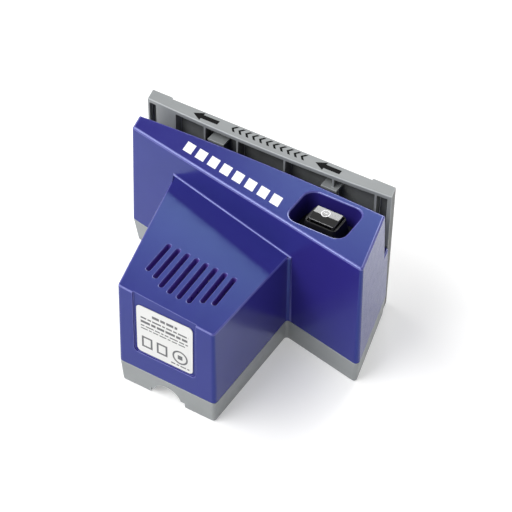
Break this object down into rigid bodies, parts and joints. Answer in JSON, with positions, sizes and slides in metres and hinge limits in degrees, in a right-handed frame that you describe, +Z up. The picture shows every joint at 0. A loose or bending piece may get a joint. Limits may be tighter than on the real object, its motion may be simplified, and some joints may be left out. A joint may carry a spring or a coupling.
{
  "type": "edge tuning tool",
  "caption": "Hand-held powered edge tuning tool: T-shaped housing on a tray, ribbed guide rail along its back, rocker switch on top and a grinding wheel in the rail's window.",
  "frame": {"origin": "centre of the object's footprint box, on the surface it rests on", "axes": "+Z up; +X along the guide rail, so the work passes towards -X; +Y out through the rail's sliding face"},
  "size_m": [0.1654, 0.123, 0.0834],
  "materials": {
    "blue_plastic": "glossy moulded ABS, ultramarine blue",
    "grey_plastic": "satin moulded plastic, mid grey",
    "black_plastic": "semi-gloss black nylon",
    "black_rubber": "matt black rubber",
    "label_white": null,
    "steel": "zinc-plated steel",
    "brass": "stamped brass",
    "copper": "copper and enamelled windings",
    "magnet": "sintered ferrite",
    "abrasive": "vitrified abrasive, open grain",
    "ceramic_orange": "dipped ceramic",
    "wire_red": "red PVC insulation",
    "wire_black": "black PVC insulation"
  },
  "bodies": {
    "housing": {"top_cover": "blue_plastic", "base_shell": "grey_plastic", "guide_rail": "grey_plastic", "label_plate": "label_white", "cover_screw_1": "steel", "cover_screw_2": "steel", "cover_screw_3": "steel", "cover_screw_4": "steel", "cover_screw_5": "steel", "rail_screw_1": "steel", "rail_screw_2": "steel", "rail_screw_3": "steel", "rail_screw_4": "steel", "dc_jack_pin": "steel", "motor_can": "steel", "motor_front_plate": "steel", "strap_screw_left": "steel", "strap_screw_right": "steel", "plate_screw_left": "steel", "plate_screw_right": "steel", "motor_strap": "steel", "bearing_outer_ring": "steel", "bearing_shield": "steel", "switch_boot": "black_rubber", "switch_body": "black_plastic", "dc_jack_body": "black_plastic", "motor_end_bell": "black_plastic", "bearing_plate": "black_plastic", "switch_terminal_1": "brass", "switch_terminal_2": "brass", "brush_terminal_left": "brass", "brush_terminal_right": "brass", "magnet_left": "magnet", "magnet_right": "magnet", "brush_left": "copper", "brush_right": "copper", "suppressor_capacitor": "ceramic_orange", "red_lead_feed": "wire_red", "red_lead_motor": "wire_red", "black_lead_motor": "wire_black"},
    "spindle": {"motor_shaft": "steel", "armature": "copper", "commutator": "copper", "bearing_inner_ring": "steel", "cooling_fan": "black_plastic", "wheel_hub": "steel", "hub_set_screw": "steel", "grinding_wheel": "abrasive", "wheel_screw": "steel"},
    "rocker": {"rocker_cap": "black_plastic"}
  },
  "joints": [
    {"name": "spindle_spin", "type": "hinge", "parent": "housing", "child": "spindle", "pos_m": [0.006, 0.028, 0.036], "axis": [0, 1, 0], "continuous": true},
    {"name": "rocker_tilt", "type": "hinge", "parent": "housing", "child": "rocker", "pos_m": [0.0447, 0.0293, 0.073], "axis": [1, 0, 0], "range_deg": [-8, 0]}
  ]
}
